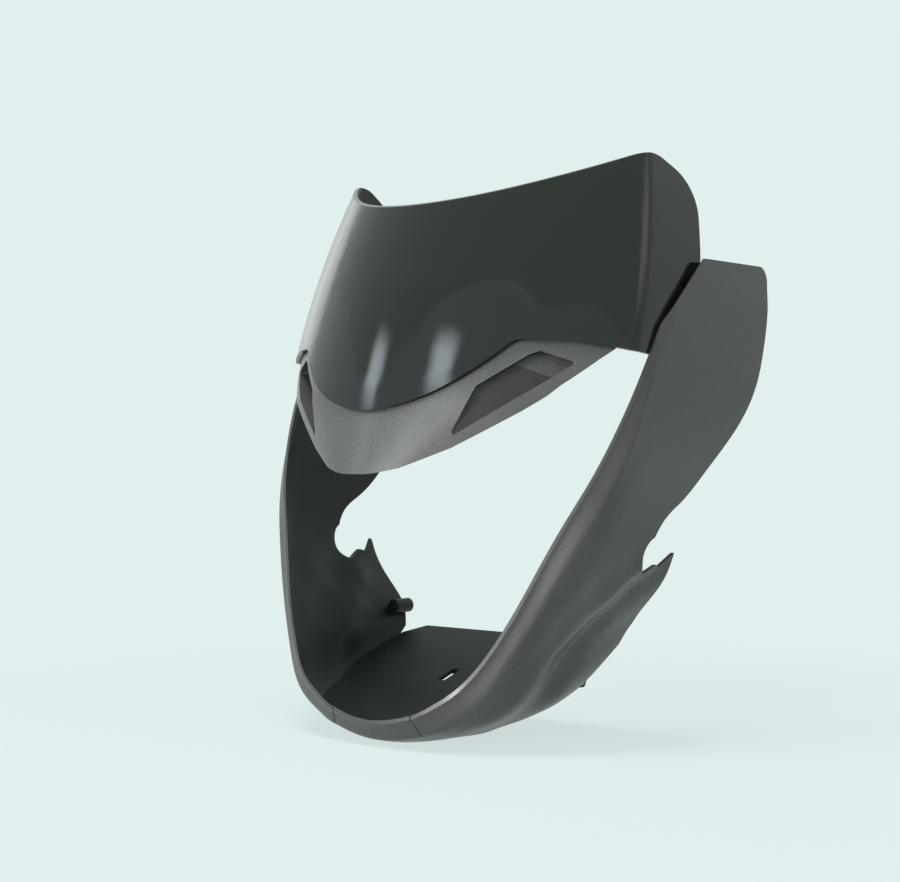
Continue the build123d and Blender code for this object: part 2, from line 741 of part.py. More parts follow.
with BuildPart() as tab_sleeves:
    with BuildSketch(Plane.XZ.offset(-grommet_face)):
        with Locations((tab_spread / 2, tab_height), (-tab_spread / 2, tab_height)):
            Circle(sleeve_radius)
            Circle(sleeve_bore, mode=Mode.SUBTRACT)
    extrude(amount=grommet_length)
tab_sleeves.part.label = "tab_sleeves"
export_step(tab_sleeves.part, "parts/tab_sleeves.step")
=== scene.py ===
"""Headlight cowl of a small motorcycle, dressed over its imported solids.

The mouldings are merged copies of the solids, painted outside and bare inside, with softened edges on all
but the brow. The screws get their cross recesses here.
"""
import logging
import math
from dataclasses import dataclass
from enum import Enum
from typing import Callable, Iterable, Optional, Union

import bmesh
import bpy
import numpy as np
from mathutils import Matrix, Vector
from mathutils.bvhtree import BVHTree


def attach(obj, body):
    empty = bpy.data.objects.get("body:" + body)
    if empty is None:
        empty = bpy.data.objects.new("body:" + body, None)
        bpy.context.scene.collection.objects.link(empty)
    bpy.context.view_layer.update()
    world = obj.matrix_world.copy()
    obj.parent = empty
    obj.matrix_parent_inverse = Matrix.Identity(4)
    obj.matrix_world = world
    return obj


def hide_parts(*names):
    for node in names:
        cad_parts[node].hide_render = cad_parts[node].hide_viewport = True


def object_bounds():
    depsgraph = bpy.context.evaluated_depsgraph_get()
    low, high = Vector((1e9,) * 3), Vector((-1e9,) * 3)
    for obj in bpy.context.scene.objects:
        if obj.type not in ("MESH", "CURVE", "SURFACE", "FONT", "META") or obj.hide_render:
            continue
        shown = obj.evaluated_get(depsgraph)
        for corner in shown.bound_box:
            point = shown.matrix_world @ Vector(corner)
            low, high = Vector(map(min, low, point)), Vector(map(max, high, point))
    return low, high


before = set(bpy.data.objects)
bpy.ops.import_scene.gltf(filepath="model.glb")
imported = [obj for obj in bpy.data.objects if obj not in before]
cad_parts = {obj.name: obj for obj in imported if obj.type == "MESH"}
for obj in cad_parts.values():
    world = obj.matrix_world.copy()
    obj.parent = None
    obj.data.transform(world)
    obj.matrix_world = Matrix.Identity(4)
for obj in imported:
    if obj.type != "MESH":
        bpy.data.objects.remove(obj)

CAD_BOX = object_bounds()
LOG = logging.getLogger("cowl")
MM = 0.001
MERGE_GAP = 0.01 * MM
WELD_GAP = 0.0002 * MM

Colour = tuple[float, float, float]
Point = tuple[float, float, float]
Span = tuple[float, float]
Outward = Callable[[Vector], Vector]
Socket = bpy.types.NodeSocket
Term = Union[Socket, float, tuple[float, ...]]


class Slot(Enum):
    """Names of the material slots that the pieces carry."""

    SCREEN = "smoked_screen"
    SILVER = "silver_paint"
    GREY = "grey_paint"
    PLASTIC = "black_plastic"
    STEEL = "screw_steel"
    RUBBER = "soft_rubber"


class Side(Enum):
    """Which part of a moulding a face belongs to, as its material index."""

    OUTSIDE = 0
    INSIDE = 1
    RECESS = 2


def scaled(colour: Colour, gain: float = 1.0, lift: float = 0.0) -> tuple[float, ...]:
    """The colour with each channel times a gain plus a lift, and full alpha."""
    return (*(gain * channel + lift for channel in colour), 1.0)


class NodeKit:
    """Small helpers that place and link shader nodes in one tree."""

    def __init__(self, tree: bpy.types.NodeTree) -> None:
        """Keep the tree and clear it."""
        self.tree = tree
        tree.nodes.clear()

    def add(self, kind: str, **values: object) -> bpy.types.Node:
        """Add a node.

        Args:
            kind: Blender's name of the node type.
            values: node properties, or inputs by name with spaces written as underscores.

        Returns:
            The new node.
        """
        node = self.tree.nodes.new(kind)
        for key, value in values.items():
            if hasattr(node, key):
                setattr(node, key, value)
            else:
                node.inputs[key.replace("_", " ")].default_value = value
        return node

    def feed(self, term: Term, target: Socket) -> None:
        """Link an output to an input, or set the input to a plain value.

        Args:
            term: the output or the value.
            target: the input.
        """
        if isinstance(term, Socket):
            self.tree.links.new(term, target)
        else:
            target.default_value = term

    def on_piece(self, kind: str, **values: object) -> bpy.types.Node:
        """Add a node that reads the piece's own coordinates.

        Args:
            kind: Blender's name of the node type.
            values: properties and inputs, as for any node.

        Returns:
            The new node.
        """
        node = self.add(kind, **values)
        self.feed(self.add("ShaderNodeTexCoord").outputs["Object"], node.inputs[0])
        return node

    def calculate(self, operation: str, *terms: Term) -> Socket:
        """Work out a number.

        Args:
            operation: Blender's name of the Math node's operation.
            terms: what it works on, in order.

        Returns:
            The result.
        """
        node = self.add("ShaderNodeMath", operation=operation)
        for term, target in zip(terms, node.inputs):
            self.feed(term, target)
        return node.outputs[0]

    def remap(self, source: Socket, **values: object) -> Socket:
        """Stretch a number from one range to another.

        Args:
            source: the number.
            values: properties and inputs of the Map Range node.

        Returns:
            The stretched number.
        """
        node = self.add("ShaderNodeMapRange", **values)
        self.feed(source, node.inputs["Value"])
        return node.outputs["Result"]

    def mix(self, factor: Term, first: Term, second: Term, blend: str = "MIX") -> Socket:
        """Mix two colours.

        Args:
            factor: share of the second colour.
            first: the first colour.
            second: the second colour.
            blend: Blender's name of the way to mix.

        Returns:
            The mixed colour.
        """
        node = self.add("ShaderNodeMix", data_type="RGBA", blend_type=blend)
        for name, term in (("Factor", factor), ("A", first), ("B", second)):
            self.feed(term, node.inputs[name])
        return node.outputs["Result"]

    def mix_shaders(self, factor: Socket, first: bpy.types.Node, second: bpy.types.Node) -> bpy.types.Node:
        """Mix two shaders.

        Args:
            factor: share of the second shader.
            first: the first shader.
            second: the second shader.

        Returns:
            The mixed shader.
        """
        node = self.add("ShaderNodeMixShader")
        for term, target in zip((factor, first.outputs[0], second.outputs[0]), node.inputs):
            self.feed(term, target)
        return node

    def bump(self, height: Socket, shader: bpy.types.Node, strength: float, distance: float) -> None:
        """Raise a shader's surface by a height.

        Args:
            height: the height.
            shader: shader that takes the normal.
            strength: strength of the bump.
            distance: depth of the bump in metres.
        """
        node = self.add("ShaderNodeBump", Strength=strength, Distance=distance)
        self.feed(height, node.inputs["Height"])
        self.feed(node.outputs["Normal"], shader.inputs["Normal"])

    def show(self, kind: str, shader: bpy.types.Node) -> None:
        """Send a shader to an output node of a kind."""
        self.feed(shader.outputs[0], self.add(kind).inputs["Surface"])


@dataclass
class Effects:
    """Shader node groups that several finishes share. Scales count features per metre."""

    flakes: float = 1600.0
    flake_contrast: float = 0.3
    ripples: float = 220.0
    grains: float = 900.0
    grain_softness: float = 0.4
    flow_marks: float = 14.0
    smears: float = 18.0
    smear_span: Span = (0.45, 0.75)
    haze: float = 0.5
    scratches: float = 60.0
    scratch_turn: Point = (0.3, 0.9, 0.5)
    scratch_stretch: Point = (1.0, 22.0, 1.0)
    scratch_span: Span = (0.66, 0.72)
    scratch_share: float = 0.3

    def __post_init__(self) -> None:
        """Build each group once."""
        self.flake = self.make_flake()
        self.grain = self.make_grain()
        self.handling = self.make_handling()

    @staticmethod
    def start_group(name: str, inputs: dict[str, float],
                    outputs: Iterable[str]) -> tuple[NodeKit, bpy.types.Node, bpy.types.Node]:
        """Start a group that takes and gives numbers.

        Args:
            name: name of the group.
            inputs: inputs with their default values.
            outputs: names of the outputs.

        Returns:
            The group's node kit, its input node and its output node.
        """
        tree = bpy.data.node_groups.new(name, "ShaderNodeTree")
        for label, value in inputs.items():
            socket = tree.interface.new_socket(label, in_out="INPUT", socket_type="NodeSocketFloat")
            socket.default_value = value
        for label in outputs:
            tree.interface.new_socket(label, in_out="OUTPUT", socket_type="NodeSocketFloat")
        kit = NodeKit(tree)
        return kit, kit.add("NodeGroupInput"), kit.add("NodeGroupOutput")

    def make_flake(self) -> bpy.types.NodeTree:
        """Metal flakes in a paint: brightness of each flake, and the ripple of the lacquer.

        Returns:
            The group.
        """
        kit, start, end = self.start_group(
            "paint_flake", {"Scale": self.flakes, "Contrast": self.flake_contrast}, ("Brightness", "Height"))
        cells = kit.on_piece("ShaderNodeTexVoronoi", feature="F1")
        kit.feed(start.outputs["Scale"], cells.inputs["Scale"])
        split = kit.add("ShaderNodeSeparateColor")
        kit.feed(cells.outputs["Color"], split.inputs["Color"])
        centred = kit.calculate("SUBTRACT", split.outputs["Red"], 0.5)
        bright = kit.calculate("MULTIPLY_ADD", centred, start.outputs["Contrast"], 1.0)
        kit.feed(bright, end.inputs["Brightness"])
        ripple = kit.on_piece("ShaderNodeTexNoise", Scale=self.ripples, Detail=2.0)
        kit.feed(ripple.outputs["Fac"], end.inputs["Height"])
        return kit.tree

    def make_grain(self) -> bpy.types.NodeTree:
        """Fine leather-like grain of bare moulded plastic, and the flow marks of its mould.

        Returns:
            The group.
        """
        kit, start, end = self.start_group("mould_grain", {"Scale": self.grains}, ("Height", "Mask"))
        cells = kit.on_piece("ShaderNodeTexVoronoi", feature="SMOOTH_F1", Smoothness=self.grain_softness)
        kit.feed(start.outputs["Scale"], cells.inputs["Scale"])
        kit.feed(cells.outputs["Distance"], end.inputs["Height"])
        flow = kit.on_piece("ShaderNodeTexNoise", Scale=self.flow_marks, Detail=5.0, Roughness=0.6,
                            Distortion=0.6)
        kit.feed(flow.outputs["Fac"], end.inputs["Mask"])
        return kit.tree

    def make_handling(self) -> bpy.types.NodeTree:
        """Hazy smears and fine scratches left by handling, as a mask from 0 to 1.

        Returns:
            The group.
        """
        kit, start, end = self.start_group(
            "handling_marks", {"Haze": self.haze, "Scratches": self.scratch_share}, ("Mask",))
        smear = kit.on_piece("ShaderNodeTexNoise", Scale=self.smears, Detail=4.0, Roughness=0.55,
                             Distortion=0.8)
        turn = kit.on_piece("ShaderNodeMapping", Rotation=self.scratch_turn, Scale=self.scratch_stretch)
        scratch = kit.add("ShaderNodeTexNoise", Scale=self.scratches, Detail=3.0)
        kit.feed(turn.outputs["Vector"], scratch.inputs["Vector"])
        masks = []
        kinds = ((smear, self.smear_span, "Haze"), (scratch, self.scratch_span, "Scratches"))
        for marks, span, share in kinds:
            clear = kit.remap(marks.outputs["Fac"], From_Min=span[0], From_Max=span[1])
            masks.append(kit.calculate("MULTIPLY", clear, start.outputs[share]))
        kit.feed(kit.calculate("MAXIMUM", *masks), end.inputs["Mask"])
        return kit.tree


@dataclass(frozen=True)
class Finish:
    """A named Principled material, to which each kind of finish adds its own detail."""

    name: str
    base: Colour
    roughness: float

    def make(self, effects: Effects) -> bpy.types.Material:
        """Build the material.

        Args:
            effects: shared node groups.

        Returns:
            The finished material.
        """
        material = bpy.data.materials.new(self.name)
        material.use_nodes = True
        kit = NodeKit(material.node_tree)
        shader = kit.add("ShaderNodeBsdfPrincipled", Base_Color=scaled(self.base), Roughness=self.roughness)
        kit.show("ShaderNodeOutputMaterial", shader)
        self.detail(kit, shader, effects)
        return material

    def detail(self, kit: NodeKit, shader: bpy.types.Node, effects: Effects) -> None:
        """Add what the finish shows close up; a plain finish adds nothing."""

    def dull(self, kit: NodeKit, mask: Socket, shader: bpy.types.Node, span: Span) -> None:
        """Vary the roughness by a mask.

        Args:
            kit: node kit of the material.
            mask: mask from 0 to 1.
            shader: shader that takes the roughness.
            span: what is added to the roughness where the mask is 0, and where it is 1.
        """
        rough = kit.remap(mask, To_Min=self.roughness + span[0], To_Max=self.roughness + span[1])
        kit.feed(rough, shader.inputs["Roughness"])


@dataclass(frozen=True)
class FlakePaint(Finish):
    """Metallic paint: flakes of varying brightness under a thin lacquer, with a little dust in the smears."""

    metallic: float = 0.6
    contrast: float = 0.35
    coat: float = 0.25
    coat_roughness: float = 0.25
    dust_gain: float = 0.8
    dust_lift: float = 0.035
    dulled: Span = (0.0, 0.14)
    ripple_strength: float = 0.12
    ripple_depth: float = 0.4 * MM

    def detail(self, kit: NodeKit, shader: bpy.types.Node, effects: Effects) -> None:
        """Add the flakes, the dust and the rippled lacquer.

        Args:
            kit: node kit of the material.
            shader: its Principled shader.
            effects: shared node groups.
        """
        shader.inputs["Metallic"].default_value = self.metallic
        shader.inputs["Coat Weight"].default_value = self.coat
        shader.inputs["Coat Roughness"].default_value = self.coat_roughness
        flake = kit.add("ShaderNodeGroup", node_tree=effects.flake, Contrast=self.contrast)
        mask = kit.add("ShaderNodeGroup", node_tree=effects.handling).outputs["Mask"]
        speckled = kit.mix(1.0, scaled(self.base), flake.outputs["Brightness"], "MULTIPLY")
        dusty = kit.mix(mask, speckled, scaled(self.base, self.dust_gain, self.dust_lift))
        kit.feed(dusty, shader.inputs["Base Color"])
        self.dull(kit, mask, shader, self.dulled)
        kit.bump(flake.outputs["Height"], shader, self.ripple_strength, self.ripple_depth)


@dataclass(frozen=True)
class BarePlastic(Finish):
    """Bare moulded plastic or rubber with a fine grain and flow marks."""

    gloss: float = 0.3
    paler: float = 1.5
    dulled: Span = (-0.08, 0.1)
    grain_strength: float = 0.35
    grain_depth: float = 0.12 * MM

    def detail(self, kit: NodeKit, shader: bpy.types.Node, effects: Effects) -> None:
        """Add the grain and the flow marks.

        Args:
            kit: node kit of the material.
            shader: its Principled shader.
            effects: shared node groups.
        """
        shader.inputs["Specular IOR Level"].default_value = self.gloss
        grain = kit.add("ShaderNodeGroup", node_tree=effects.grain)
        mask = grain.outputs["Mask"]
        tint = kit.mix(mask, scaled(self.base), scaled(self.base, self.paler))
        kit.feed(tint, shader.inputs["Base Color"])
        self.dull(kit, mask, shader, self.dulled)
        kit.bump(grain.outputs["Height"], shader, self.grain_strength, self.grain_depth)


@dataclass(frozen=True)
class SmokedScreen(Finish):
    """Dark see-through plastic, polished on both faces; where the brow's shield lies behind, a lighter
    painted see-through view.

    The shield's wavy top edge is a line of points, each a depth y and a height z in millimetres.
    """

    ior: float = 1.5
    gloss: float = 0.3
    clear: float = 0.5
    haze: float = 0.35
    dulled: Span = (0.0, 0.05)
    # lighter colour painted where the shield lies behind the visor: a painted see-through view
    painted_shield_view: Colour = (0.022, 0.026, 0.0275)
    shield_edge: tuple[Span, ...] = (
        (-140, 160), (-136, 172), (-130, 186), (-121, 205), (-110, 216), (-101, 218.8), (-95.5, 207),
        (-93, 199.5), (-87.6, 201), (-76, 203), (-68, 190), (-60, 160))
    depth_span: Span = (-140, -60)
    height_span: Span = (160, 220)
    edge_blur: Span = (-0.01, 0.03)

    def detail(self, kit: NodeKit, shader: bpy.types.Node, effects: Effects) -> None:
        """Add the clearness, the haze and the painted see-through view of the shield behind.

        Args:
            kit: node kit of the material.
            shader: its Principled shader.
            effects: shared node groups.
        """
        shader.inputs["Transmission Weight"].default_value = self.clear
        shader.inputs["IOR"].default_value = self.ior
        shader.inputs["Specular IOR Level"].default_value = self.gloss
        marks = kit.add("ShaderNodeGroup", node_tree=effects.handling, Haze=self.haze)
        self.dull(kit, marks.outputs["Mask"], shader, self.dulled)
        # painted see-through view: the base colour turns lighter and bluer over the shield behind
        tint = kit.mix(self.painted_shield_mask(kit), scaled(self.base), scaled(self.painted_shield_view))
        kit.feed(tint, shader.inputs["Base Color"])

    def painted_shield_mask(self, kit: NodeKit) -> Socket:
        """Find the area where the see-through view of the shield is painted, below the shield's top edge.

        Args:
            kit: node kit of the material.

        Returns:
            A mask from 0 to 1.
        """
        (low_y, high_y), (low_z, high_z) = self.depth_span, self.height_span
        deep, tall = high_y - low_y, high_z - low_z
        shares = [((y - low_y) / deep, (z - low_z) / tall) for y, z in self.shield_edge]
        axes = kit.on_piece("ShaderNodeSeparateXYZ")
        depth = kit.remap(axes.outputs["Y"], From_Min=low_y * MM, From_Max=high_y * MM)
        height = kit.remap(axes.outputs["Z"], From_Min=low_z * MM, From_Max=high_z * MM, clamp=False)
        curve = kit.add("ShaderNodeFloatCurve")
        points = curve.mapping.curves[0].points
        for share in shares[1:-1]:
            points.new(*share)
        points[0].location.y = shares[0][1]
        points[len(points) - 1].location.y = shares[-1][1]
        curve.mapping.update()
        kit.feed(depth, curve.inputs["Value"])
        gap = kit.calculate("SUBTRACT", curve.outputs["Value"], height)
        return kit.remap(gap, From_Min=self.edge_blur[0], From_Max=self.edge_blur[1])


@dataclass(frozen=True)
class PlatedSteel(Finish):
    """Dark plated steel with brighter scratches."""

    metallic: float = 1.0
    scratches: float = 0.8
    brighter: float = 1.6
    dulled: Span = (0.0, 0.2)

    def detail(self, kit: NodeKit, shader: bpy.types.Node, effects: Effects) -> None:
        """Add the scratches.

        Args:
            kit: node kit of the material.
            shader: its Principled shader.
            effects: shared node groups.
        """
        shader.inputs["Metallic"].default_value = self.metallic
        marks = kit.add("ShaderNodeGroup", node_tree=effects.handling, Scratches=self.scratches)
        mask = marks.outputs["Mask"]
        tint = kit.mix(mask, scaled(self.base), scaled(self.base, self.brighter))
        kit.feed(tint, shader.inputs["Base Color"])
        self.dull(kit, mask, shader, self.dulled)


class Finishes:
    """All finishes of the cowl."""

    grey_paint = FlakePaint("grey_metallic_paint", (0.068, 0.0675, 0.063), roughness=0.42, metallic=0.5)
    silver_paint = FlakePaint("silver_metallic_paint", (0.105, 0.105, 0.097), roughness=0.42, metallic=0.6)
    # scoop floors: a darker paint that also stands in for the shade in the scoops (painted shade)
    scoop_paint_and_shade = FlakePaint("scoop_floor_paint_and_shade", (0.04, 0.04, 0.037), roughness=0.45, metallic=0.4)
    inside_plastic = BarePlastic("bare_inside", (0.010, 0.0118, 0.0125), roughness=0.5)
    tray_plastic = BarePlastic("tray_plastic", (0.008, 0.0102, 0.0096), roughness=0.55, gloss=0.22)
    smoked_plastic = SmokedScreen("smoked_screen", (0.014, 0.0155, 0.0095), roughness=0.06)
    plated_steel = PlatedSteel("black_plated_steel", (0.06, 0.06, 0.063), roughness=0.4)
    black_rubber = BarePlastic("black_rubber", (0.018, 0.018, 0.018), roughness=0.75, grain_depth=0.06 * MM)

    def __init__(self, effects: Effects) -> None:
        """Make every material once.

        Args:
            effects: shared node groups.
        """
        self.grey = self.grey_paint.make(effects)
        self.silver = self.silver_paint.make(effects)
        self.scoop = self.scoop_paint_and_shade.make(effects)
        self.inside = self.inside_plastic.make(effects)
        self.tray = self.tray_plastic.make(effects)
        self.screen = self.smoked_plastic.make(effects)
        self.steel = self.plated_steel.make(effects)
        self.rubber = self.black_rubber.make(effects)


def deselect() -> None:
    """Leave nothing selected, in object mode."""
    if bpy.context.mode != "OBJECT":
        bpy.ops.object.mode_set(mode="OBJECT")
    bpy.ops.object.select_all(action="DESELECT")


def activate(obj: bpy.types.Object) -> None:
    """Select one object alone and make it active.

    Args:
        obj: the object.
    """
    deselect()
    obj.select_set(True)
    bpy.context.view_layer.objects.active = obj


def apply_modifiers(obj: bpy.types.Object) -> None:
    """Apply every modifier of an object, in order.

    Args:
        obj: the object.
    """
    activate(obj)
    for modifier in list(obj.modifiers):
        bpy.ops.object.modifier_apply(modifier=modifier.name)


def smooth(obj: bpy.types.Object, degrees: float) -> None:
    """Shade smooth, with edges over an angle left sharp."""
    activate(obj)
    bpy.ops.object.shade_smooth_by_angle(angle=math.radians(degrees))


def weld(obj: bpy.types.Object) -> None:
    """Merge points that fell together, so that no folded faces stay behind.

    Args:
        obj: the object.
    """
    shape = bmesh.new()
    shape.from_mesh(obj.data)
    bmesh.ops.remove_doubles(shape, verts=shape.verts, dist=WELD_GAP)
    bmesh.ops.dissolve_degenerate(shape, edges=shape.edges, dist=WELD_GAP)
    shape.to_mesh(obj.data)
    shape.free()


def enlist(obj: bpy.types.Object, node: str) -> None:
    """Tie a finished piece to the frame.

    Args:
        obj: the piece.
        node: CAD node that it stands for.
    """
    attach(obj, "root")
    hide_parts(node)
    LOG.info("%s: %d faces", obj.name, len(obj.data.polygons))


def merged_copy(node: str, name: str) -> bpy.types.Object:
    """Copy a CAD node and merge its loose triangles.

    Args:
        node: name of the CAD node.
        name: name of the copy.

    Returns:
        The copy, linked to the scene, with no materials.
    """
    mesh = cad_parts[node].data.copy()
    mesh.name = name
    mesh.materials.clear()
    copy = bpy.data.objects.new(name, mesh)
    bpy.context.scene.collection.objects.link(copy)
    activate(copy)
    if mesh.has_custom_normals:
        bpy.ops.mesh.customdata_custom_splitnormals_clear()
    shape = bmesh.new()
    shape.from_mesh(mesh)
    bmesh.ops.remove_doubles(shape, verts=shape.verts, dist=MERGE_GAP)
    shape.to_mesh(mesh)
    shape.free()
    return copy


@dataclass
class Moulding:
    """A moulded CAD node, painted outside and bare inside, or of one finish all over.

    A face is outside if nothing of the piece stands before it on the way out of the cowl, and the share of
    its normal along that way, tipped forward by lean, is over turned. A face ahead of the rim's line, which
    is at rim_depth at height zero and slants back by rim_rake, is also outside if its normal's y is under
    facing.
    """

    node: str
    name: str
    slot: Slot
    bevel: float = 0.5 * MM
    bevel_steps: int = 2
    sharp: float = 28.0
    flat_weight: int = 60
    lean: float = 0.7
    turned: float = -0.3
    facing: float = -0.35
    rim_depth: float = -80 * MM
    rim_rake: float = 0.3
    lift: float = 0.05 * MM

    def build(self) -> None:
        """Make the merged copy of the node."""
        self.obj = merged_copy(self.node, self.name)

    def soften(self) -> None:
        """Shade smooth, and round the sharp edges where the piece has a bevel."""
        smooth(self.obj, self.sharp)
        if self.bevel == 0:
            return
        soft = self.obj.modifiers.new("soft_edges", "BEVEL")
        soft.width = self.bevel
        soft.segments = self.bevel_steps
        soft.limit_method = "ANGLE"
        soft.angle_limit = math.radians(self.sharp)
        apply_modifiers(self.obj)
        weld(self.obj)

    def flatten_shading(self) -> None:
        """Let the large faces rule the shading of the rounded edges."""
        flat = self.obj.modifiers.new("flat_faces", "WEIGHTED_NORMAL")
        flat.keep_sharp = True
        flat.weight = self.flat_weight
        apply_modifiers(self.obj)

    def sort_sides(self, away: Outward) -> None:
        """Mark each face as outside or inside.

        Args:
            away: direction out of the cowl at a point.
        """
        tree = BVHTree.FromObject(self.obj, bpy.context.evaluated_depsgraph_get())
        ahead = Vector((0.0, -1.0, 0.0))
        for face in self.obj.data.polygons:
            out = away(face.center)
            start = face.center + (face.normal + out) * self.lift
            tipped = (out + self.lean * ahead).normalized()
            seen = face.normal.dot(tipped) > self.turned and tree.ray_cast(start, out)[0] is None
            at_rim = face.center.y < self.rim_depth + self.rim_rake * face.center.z
            forward = at_rim and face.normal.y < self.facing
            face.material_index = (Side.OUTSIDE if seen or forward else Side.INSIDE).value

    def dress(self, outside: bpy.types.Material, inside: Optional[bpy.types.Material] = None,
              away: Optional[Outward] = None) -> None:
        """Give the faces their materials, soften the edges and tie the piece to the frame.

        Args:
            outside: material of the painted side, or of the whole piece.
            inside: material of the bare side.
            away: direction out of the cowl at a point.
        """
        self.obj.data.materials.append(outside)
        if inside is not None and away is not None:
            self.obj.data.materials.append(inside)
            self.sort_sides(away)
        self.soften()
        self.flatten_shading()
        enlist(self.obj, self.node)


@dataclass
class Brow(Moulding):
    """The silver moulding over the lamp, with crisp edges and darker floors in its two scoops: a darker paint
    that also serves as painted shade in the scoops.

    The right-hand scoop starts at foot and runs along; out points out of the skin. Its floor lies shallow
    below the foot and falls by slope. A face belongs to the floor if it is within near of it and level with
    Past a line at end_spot, which faces along and up in the shares of end_turn, the floor stays silver,
    without the painted shade.
    """

    bevel: float = 0.0
    foot: Vector = Vector((58.4, -131.3, 120.4)) * MM
    along: Vector = Vector((0.679, 0.528, 0.510)).normalized()
    out: Vector = Vector((0.587, -0.808, 0.055)).normalized()
    shallow: float = 0.5 * MM
    slope: float = 12.5 / 91
    near: float = 0.2 * MM
    level: float = 0.995
    end_spot: float = 72 * MM
    end_turn: Span = (17.5, 15.0)
    cut_gap: float = 0.001 * MM

    def end_line(self) -> tuple[Vector, Vector]:
        """Find where the silver end of the right-hand floor begins.

        Returns:
            A point on the line across the floor, and the direction along the floor past it.
        """
        up = self.out.cross(self.along)
        past = (self.end_turn[0] * self.along + self.end_turn[1] * up).normalized()
        return self.foot + self.end_spot * self.along, past

    def on_floor(self, centre: Vector, normal: Vector) -> bool:
        """Tell whether a face of the right-hand half lies in the scoop's floor.

        Args:
            centre: the face's centre.
            normal: the face's normal.

        Returns:
            Whether it does.
        """
        floor = (self.out + self.slope * self.along).normalized()
        gap = abs((centre - self.foot + self.shallow * self.out).dot(floor))
        return gap < self.near and normal.dot(floor) > self.level

    def split_floors(self) -> None:
        """Cut each scoop floor across at the line where its silver end begins."""
        spot, past = self.end_line()
        shape = bmesh.new()
        shape.from_mesh(self.obj.data)
        for sign in (1.0, -1.0):
            side = Vector((sign, 1.0, 1.0))
            half = [face for face in shape.faces if sign * face.calc_center_median().x > 0]
            floor = [face for face in half
                     if self.on_floor(face.calc_center_median() * side, face.normal * side)]
            edges = dict.fromkeys(edge for face in floor for edge in face.edges)
            verts = dict.fromkeys(vert for face in floor for vert in face.verts)
            bmesh.ops.bisect_plane(shape, geom=[*floor, *edges, *verts], dist=self.cut_gap,
                                   plane_co=spot * side, plane_no=past * side)
        shape.to_mesh(self.obj.data)
        shape.free()

    def mark_scoops(self, material: bpy.types.Material) -> None:
        """Give the scoop floors their own darker material, partly paint and partly painted shade, up to the
        silver end.

        Args:
            material: finish of the floors, a darker paint with painted shade.
        """
        self.obj.data.materials.append(material)
        spot, past = self.end_line()
        for face in self.obj.data.polygons:
            side = Vector((math.copysign(1.0, face.center.x), 1.0, 1.0))
            centre = face.center * side
            if (centre - spot).dot(past) < 0 and self.on_floor(centre, face.normal * side):
                face.material_index = Side.RECESS.value


@dataclass
class CowlShell:
    """Visor, brow, side panels, chin and floor tray."""

    finishes: Finishes
    axis_height: float = 70 * MM
    brow_turn: float = 5.0
    brow_tip: float = 0.1
    screen_bevel: float = 1.1 * MM
    screen_sharp: float = 40.0

    def away_from_axis(self, spot: Vector) -> Vector:
        """Direction out of the ring of side panels and chin."""
        drop = min(0.0, spot.z - self.axis_height)
        return Vector((spot.x, 0.0, drop)).normalized()

    def away_forward(self, spot: Vector) -> Vector:
        """Direction out of the brow, forward and a little to the side."""
        return Vector((self.brow_turn * spot.x, -1.0, self.brow_tip)).normalized()

    def build(self) -> None:
        """Build and dress every moulding."""
        finish = self.finishes
        for node in ("right_side_panel", "left_side_panel", "chin_panel"):
            panel = Moulding(node, node.replace("panel", "moulding"), Slot.GREY)
            panel.build()
            panel.dress(finish.grey, finish.inside, self.away_from_axis)
        brow = Brow("brow_panel", "brow_moulding", Slot.SILVER)
        brow.build()
        brow.split_floors()
        brow.dress(finish.silver, finish.inside, self.away_forward)
        brow.mark_scoops(finish.scoop)
        screen = Moulding("visor", "visor_screen", Slot.SCREEN, bevel=self.screen_bevel,
                          sharp=self.screen_sharp)
        screen.build()
        screen.dress(finish.screen)
        tray = Moulding("floor_tray", "floor_plate", Slot.PLASTIC)
        tray.build()
        tray.dress(finish.tray)


